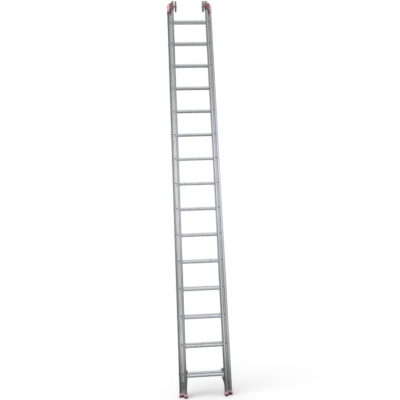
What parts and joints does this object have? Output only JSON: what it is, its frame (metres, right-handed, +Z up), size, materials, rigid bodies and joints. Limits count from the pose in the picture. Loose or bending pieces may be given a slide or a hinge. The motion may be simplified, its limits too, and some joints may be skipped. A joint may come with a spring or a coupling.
{
  "type": "extension ladder",
  "caption": "Push-up extension ladder: narrow fly section nested in front of a wider base, hollow box stiles, ribbed square rungs, plastic feet, gravity hooks and wall wheels",
  "frame": {"origin": "middle of the footprint at the level of the four soles", "axes": "+Z runs up the ladder along the stiles, +X runs along the rungs towards the right-hand stile as seen by the climber, and +Y points from the fly section to the base section, towards the wall"},
  "size_m": [0.5282, 0.1512, 4.38],
  "materials": {
    "stile_metal": "drawn box extrusion with fine lengthwise lines",
    "rung_metal": "drawn round tube with shallow flutes",
    "foot_plastic": "moulded, dark red sole and pale pink sleeve, slightly scuffed",
    "guide_plastic": "moulded, pale pink cap and red-brown arm",
    "slider_plastic": "moulded dark grey",
    "bracket_paint": "warm grey powder coat",
    "hub_plastic": "moulded light grey",
    "tyre_rubber": "mid grey rubber",
    "latch_steel": "zinc plated plate",
    "hook_steel": "zinc plated, worn where it bears",
    "pin_steel": "zinc plated pin"
  },
  "bodies": {
    "base_section": {"base_stile_left": "stile_metal", "base_foot_left": "foot_plastic", "base_stile_right": "stile_metal", "base_foot_right": "foot_plastic", "base_rung_01": "rung_metal", "base_rung_02": "rung_metal", "base_rung_03": "rung_metal", "base_rung_04": "rung_metal", "base_rung_05": "rung_metal", "base_rung_06": "rung_metal", "base_rung_07": "rung_metal", "base_rung_08": "rung_metal", "base_rung_09": "rung_metal", "base_rung_10": "rung_metal", "base_rung_11": "rung_metal", "base_rung_12": "rung_metal", "base_rung_13": "rung_metal", "base_rung_14": "rung_metal", "base_rung_15": "rung_metal", "base_guide_left": "guide_plastic", "base_guide_right": "guide_plastic"},
    "fly_section": {"fly_stile_left": "stile_metal", "fly_foot_left": "foot_plastic", "fly_stile_right": "stile_metal", "fly_foot_right": "foot_plastic", "fly_rung_01": "rung_metal", "fly_rung_02": "rung_metal", "fly_rung_03": "rung_metal", "fly_rung_04": "rung_metal", "fly_rung_05": "rung_metal", "fly_rung_06": "rung_metal", "fly_rung_07": "rung_metal", "fly_rung_08": "rung_metal", "fly_rung_09": "rung_metal", "fly_rung_10": "rung_metal", "fly_rung_11": "rung_metal", "fly_rung_12": "rung_metal", "fly_rung_13": "rung_metal", "fly_rung_14": "rung_metal", "fly_rung_15": "rung_metal", "fly_slider_left": "slider_plastic", "wheel_bracket_left": "bracket_paint", "wheel_axle_left": "pin_steel", "latch_plate_left": "latch_steel", "latch_pin_left": "pin_steel", "fly_slider_right": "slider_plastic", "wheel_bracket_right": "bracket_paint", "wheel_axle_right": "pin_steel", "latch_plate_right": "latch_steel", "latch_pin_right": "pin_steel"},
    "wheel_left": {"wheel_hub_left": "hub_plastic", "wheel_tyre_left": "tyre_rubber"},
    "latch_left": {"latch_hook_left": "hook_steel"},
    "wheel_right": {"wheel_hub_right": "hub_plastic", "wheel_tyre_right": "tyre_rubber"},
    "latch_right": {"latch_hook_right": "hook_steel"}
  },
  "joints": [
    {"name": "fly_slide", "type": "slide", "parent": "base_section", "child": "fly_section", "axis": [0, 0, 1], "range_m": [0, 3.36]},
    {"name": "wheel_left_spin", "type": "hinge", "parent": "fly_section", "child": "wheel_left", "pos_m": [-0.16185, -0.01558, 4.318], "axis": [1, 0, 0], "continuous": true},
    {"name": "wheel_right_spin", "type": "hinge", "parent": "fly_section", "child": "wheel_right", "pos_m": [0.16185, -0.01558, 4.318], "axis": [1, 0, 0], "continuous": true},
    {"name": "latch_left_swing", "type": "hinge", "parent": "fly_section", "child": "latch_left", "pos_m": [-0.18075, -0.01558, 0.246], "axis": [1, 0, 0], "range_deg": [0, 95]},
    {"name": "latch_right_swing", "type": "hinge", "parent": "fly_section", "child": "latch_right", "pos_m": [0.18075, -0.01558, 0.246], "axis": [1, 0, 0], "range_deg": [0, 95]}
  ]
}
